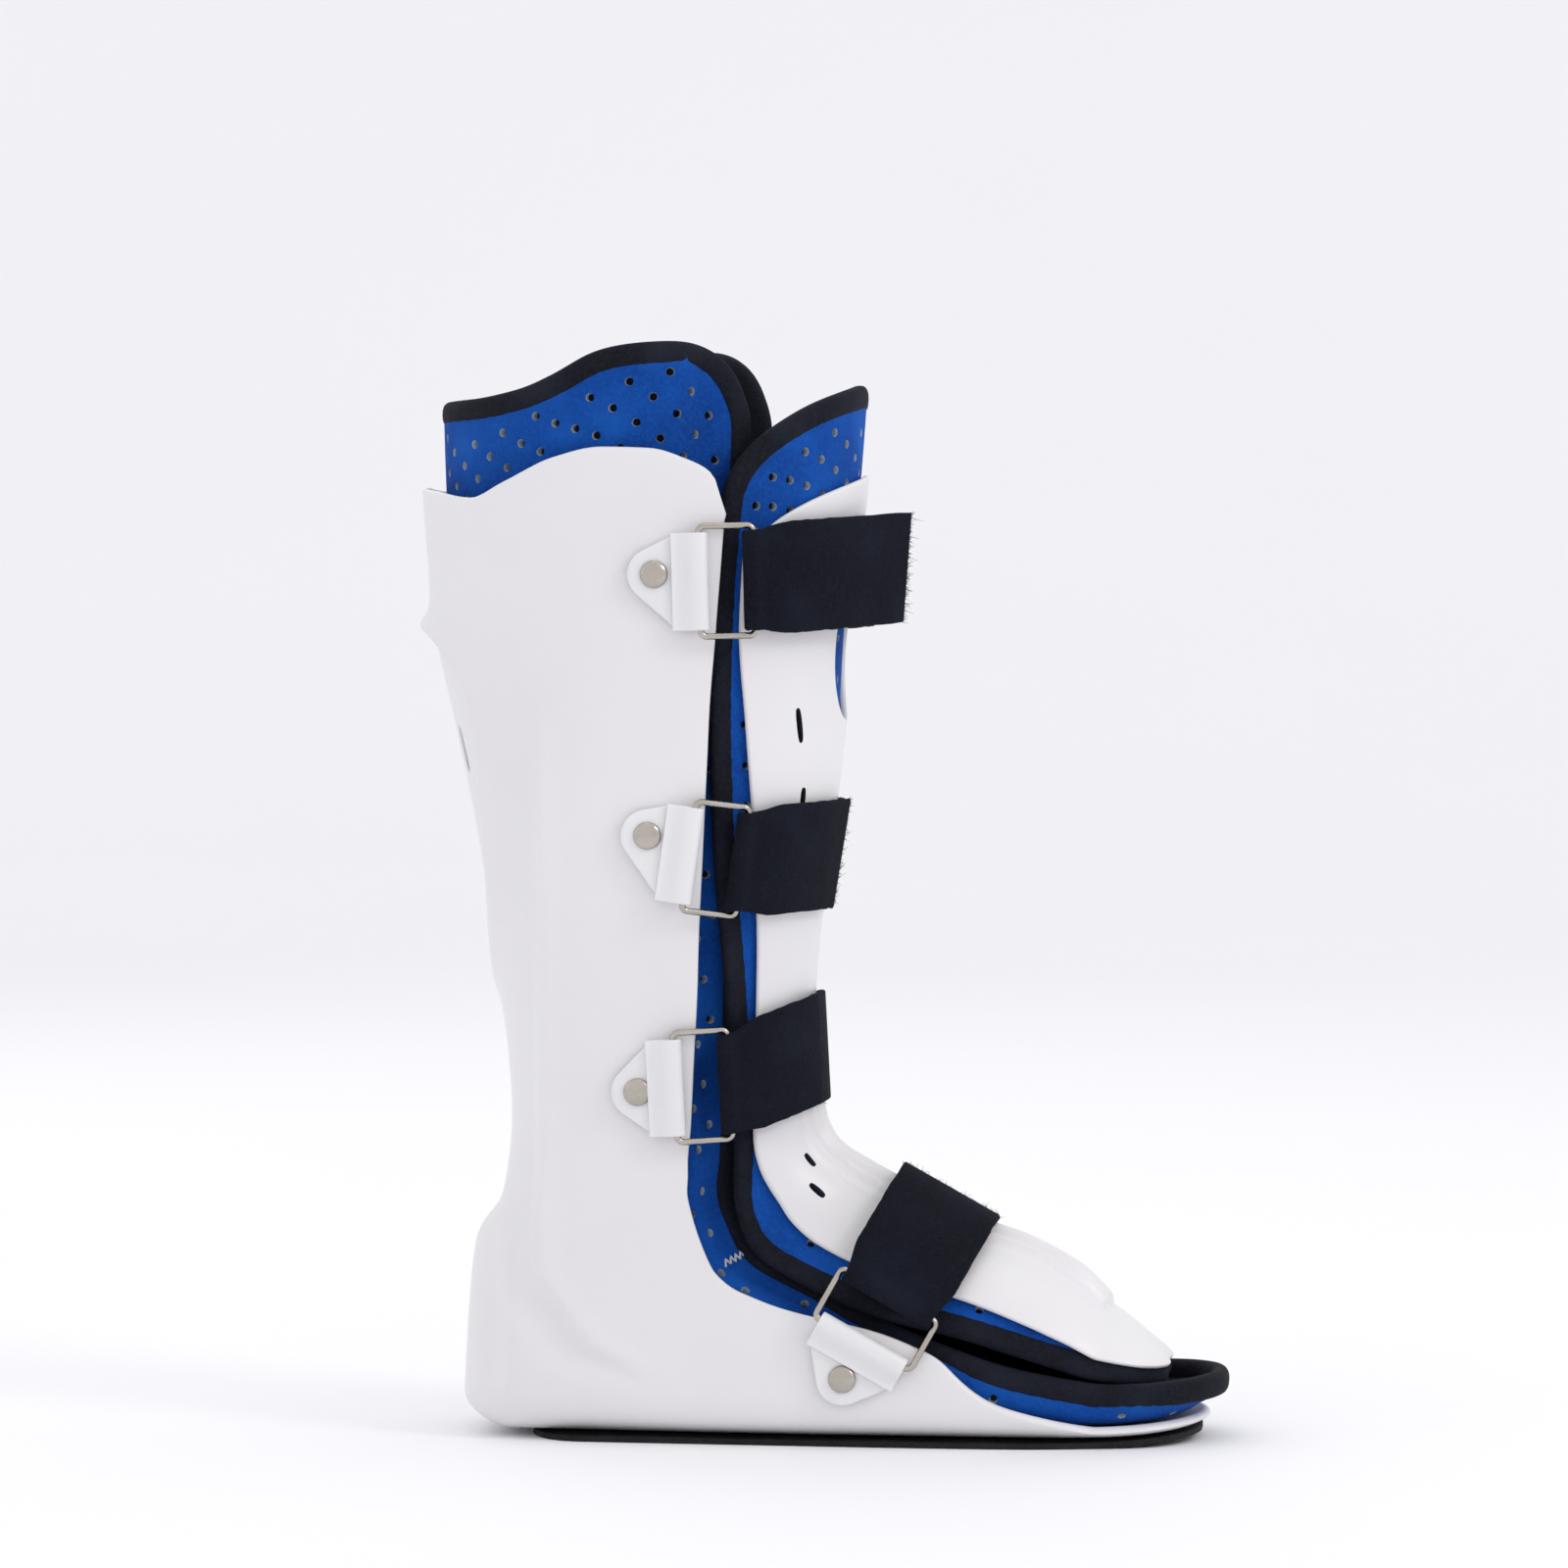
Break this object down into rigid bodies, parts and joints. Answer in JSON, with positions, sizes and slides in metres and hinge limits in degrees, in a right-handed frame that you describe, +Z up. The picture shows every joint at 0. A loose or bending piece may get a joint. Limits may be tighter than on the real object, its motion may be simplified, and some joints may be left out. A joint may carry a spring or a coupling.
{
  "type": "walking boot",
  "caption": "Orthopaedic walking boot: stiff white rear shell and front shell over perforated foam liner and tongue, closed by hook and loop straps on wire rings.",
  "frame": {"origin": "on the floor under the instep, at the middle of the flat part of the outsole", "axes": "+X to the toes, +Y to the boot's left seen from behind, +Z up the leg"},
  "size_m": [0.2983, 0.1322, 0.3985],
  "materials": {
    "shell_plastic": "satin moulded polypropylene",
    "tab_plastic": "smooth folded sheet",
    "tread_rubber": "matt",
    "liner_foam": "perforated foam faced with brushed fabric",
    "edge_binding": "stretch tape over foam",
    "strap_webbing": "napped loop webbing",
    "nickel": "bright nickel plate"
  },
  "bodies": {
    "root": {"rear_shell": "shell_plastic", "front_shell": "shell_plastic", "outsole": "tread_rubber", "rear_liner": "liner_foam", "front_liner": "liner_foam", "rear_liner_binding": "edge_binding", "front_liner_binding": "edge_binding", "strap_1": "strap_webbing", "ring_1_near": "nickel", "tab_1_near": "tab_plastic", "rivet_1_near": "nickel", "ring_1_far": "nickel", "tab_1_far": "tab_plastic", "rivet_1_far": "nickel", "strap_2": "strap_webbing", "ring_2_near": "nickel", "tab_2_near": "tab_plastic", "rivet_2_near": "nickel", "ring_2_far": "nickel", "tab_2_far": "tab_plastic", "rivet_2_far": "nickel", "strap_3": "strap_webbing", "ring_3_near": "nickel", "tab_3_near": "tab_plastic", "rivet_3_near": "nickel", "ring_3_far": "nickel", "tab_3_far": "tab_plastic", "rivet_3_far": "nickel", "strap_4": "strap_webbing", "ring_4_near": "nickel", "tab_4_near": "tab_plastic", "rivet_4_near": "nickel", "ring_4_far": "nickel", "tab_4_far": "tab_plastic", "rivet_4_far": "nickel"}
  },
  "joints": []
}
